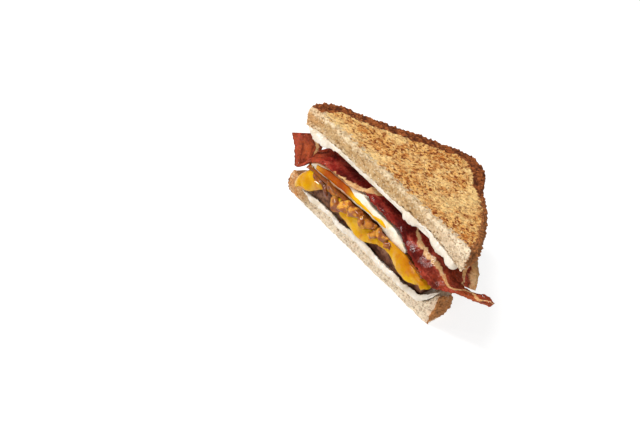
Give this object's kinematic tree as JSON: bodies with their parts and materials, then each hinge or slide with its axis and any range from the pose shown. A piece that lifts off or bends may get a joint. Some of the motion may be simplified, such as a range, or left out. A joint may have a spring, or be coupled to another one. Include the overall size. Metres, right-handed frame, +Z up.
{
  "type": "patty melt half",
  "caption": "Diagonally cut half of a toasted sandwich with sauce, meat patty, melted cheese, fried onions, egg and bacon, lying flat.",
  "frame": {"origin": "middle of the lower slice's flat resting face, on the table", "axes": "+X along the diagonal cut from the left tip to the right tip as seen facing the cut, +Y from the cut towards the back corner, +Z up"},
  "size_m": [0.165, 0.082, 0.0585],
  "materials": {
    "toasted_bread": "dry, browned, porous",
    "white_sauce": "glossy, creamy",
    "cooked_meat": "moist, coarse",
    "melted_cheese": "glossy, melted",
    "fried_onion": "moist, translucent",
    "egg_white": "moist, smooth",
    "egg_yolk": "moist, smooth",
    "fried_bacon": "greasy, streaked with fat"
  },
  "bodies": {
    "root": {"bread_lower": "toasted_bread", "sauce_lower": "white_sauce", "patty": "cooked_meat", "cheese": "melted_cheese", "onions": "fried_onion", "egg_white": "egg_white", "egg_yolk": "egg_yolk", "bacon_folded": "fried_bacon", "bacon_long": "fried_bacon", "bacon_right": "fried_bacon", "bacon_back": "fried_bacon", "sauce_upper": "white_sauce", "bread_upper": "toasted_bread"}
  },
  "joints": []
}
